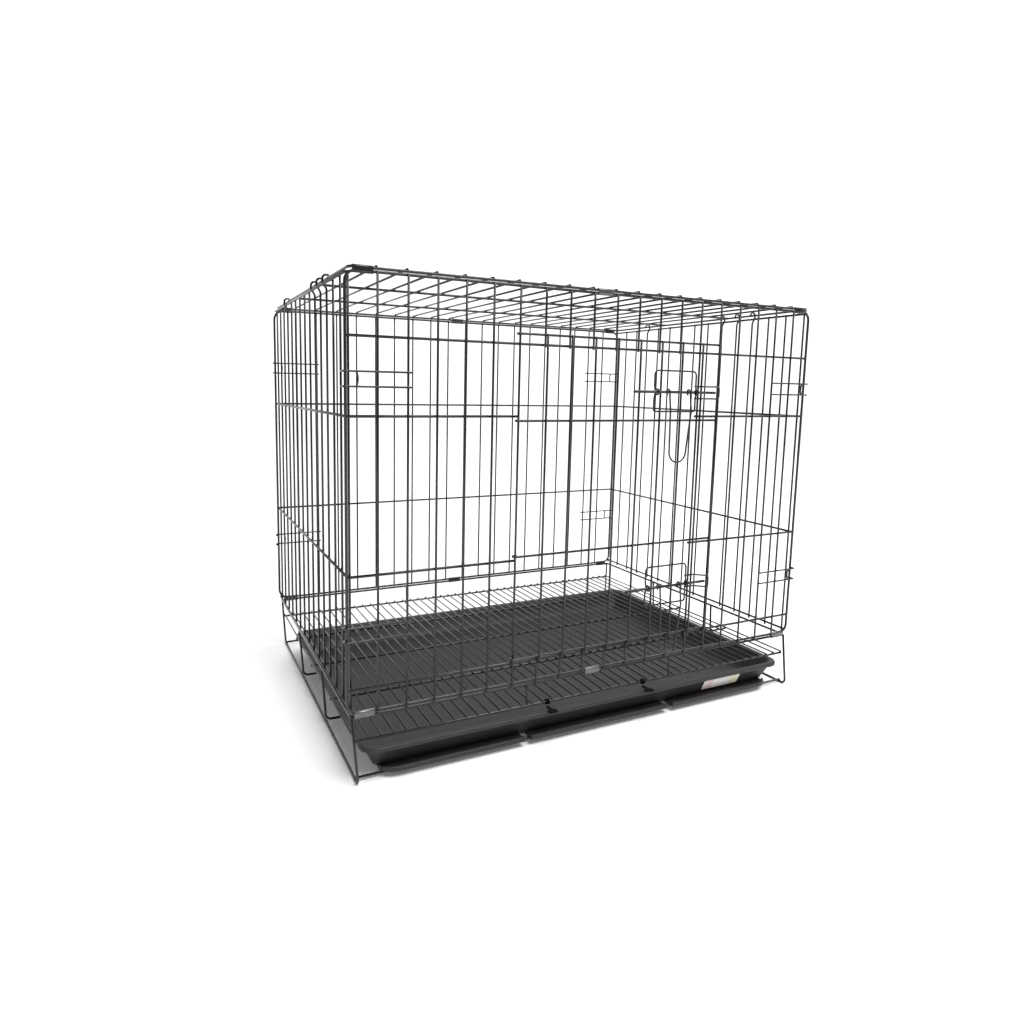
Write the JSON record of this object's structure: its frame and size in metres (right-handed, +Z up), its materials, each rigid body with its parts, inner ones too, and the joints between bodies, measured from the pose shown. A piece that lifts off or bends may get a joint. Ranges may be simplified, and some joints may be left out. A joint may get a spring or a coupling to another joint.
{
  "type": "wire dog crate",
  "caption": "Folding welded-wire pet crate with a side door on wire hinges, slide bolts, hinged end panels, a floor grid and a slide-out tray.",
  "frame": {"origin": "on the floor, under the middle of the whole crate's bounding box, with the tray where it rests", "axes": "+Z up, +X along the long side, -Y out of the side that has the door"},
  "size_m": [0.6044, 0.434, 0.502],
  "materials": {
    "coated_wire": "satin black powder coat",
    "clip_steel": "bare rolled steel sheet",
    "tray_plastic": "semi-gloss moulded plastic",
    "label": "printed paper sticker, no text",
    "catch_plastic": "moulded plastic"
  },
  "bodies": {
    "root": {"base_runners": "coated_wire", "base_legs": "coated_wire", "base_cross_wires": "coated_wire", "base_rim": "coated_wire", "floor_grid": "coated_wire", "grid_hangers": "coated_wire", "front_panel": "coated_wire", "back_panel": "coated_wire", "top_panel": "coated_wire", "front_corner_hooks": "coated_wire", "back_corner_hooks": "coated_wire", "front_bottom_clips": "clip_steel", "back_bottom_clips": "clip_steel", "front_top_clips": "clip_steel", "back_top_clips": "clip_steel", "upper_keeper": "coated_wire", "lower_keeper": "coated_wire"},
    "left_end": {"left_end_panel": "coated_wire", "left_end_hinge_eyes": "coated_wire"},
    "right_end": {"right_end_panel": "coated_wire", "right_end_hinge_eyes": "coated_wire"},
    "door": {"door_panel": "coated_wire", "door_closing_post": "coated_wire", "door_hinge_eyes": "coated_wire", "upper_latch_frame": "coated_wire", "lower_latch_frame": "coated_wire", "upper_bolt_guides": "coated_wire", "lower_bolt_guides": "coated_wire"},
    "upper_bolt": {"upper_bolt": "coated_wire"},
    "lower_bolt": {"lower_bolt": "coated_wire"},
    "upper_handle": {"upper_bolt_handle": "coated_wire"},
    "lower_handle": {"lower_bolt_handle": "coated_wire"},
    "tray": {"tray": "tray_plastic", "tray_label": "label"},
    "left_catch": {"left_tray_catch": "catch_plastic"},
    "right_catch": {"right_tray_catch": "catch_plastic"}
  },
  "joints": [
    {"name": "door_hinge", "type": "hinge", "parent": "root", "child": "door", "pos_m": [-0.1194, -0.1998, 0.27], "axis": [0, 0, -1], "range_deg": [0, 155]},
    {"name": "left_end_fold", "type": "hinge", "parent": "root", "child": "left_end", "pos_m": [-0.2948, 0.007, 0.49818], "axis": [0, -1, 0], "range_deg": [0, 85]},
    {"name": "right_end_fold", "type": "hinge", "parent": "root", "child": "right_end", "pos_m": [0.2948, 0.007, 0.49818], "axis": [0, 1, 0], "range_deg": [0, 75]},
    {"name": "tray_slide", "type": "slide", "parent": "root", "child": "tray", "axis": [0, -1, 0], "range_m": [-0.025, 0.38]},
    {"name": "upper_bolt_slide", "type": "slide", "parent": "door", "child": "upper_bolt", "axis": [1, 0, 0], "range_m": [-0.012, 0.009]},
    {"name": "upper_handle_swing", "type": "hinge", "parent": "upper_bolt", "child": "upper_handle", "pos_m": [0.081, -0.21054, 0.391], "axis": [-1, 0, 0], "range_deg": [0, 165]},
    {"name": "lower_bolt_slide", "type": "slide", "parent": "door", "child": "lower_bolt", "axis": [1, 0, 0], "range_m": [-0.012, 0.009]},
    {"name": "lower_handle_swing", "type": "hinge", "parent": "lower_bolt", "child": "lower_handle", "pos_m": [0.081, -0.21054, 0.164], "axis": [-1, 0, 0], "range_deg": [0, 165]},
    {"name": "left_catch_flip", "type": "hinge", "parent": "root", "child": "left_catch", "pos_m": [-0.0732, -0.19718, 0.044], "axis": [-1, 0, 0], "range_deg": [0, 100]},
    {"name": "right_catch_flip", "type": "hinge", "parent": "root", "child": "right_catch", "pos_m": [0.0599, -0.19718, 0.044], "axis": [-1, 0, 0], "range_deg": [0, 100]}
  ]
}
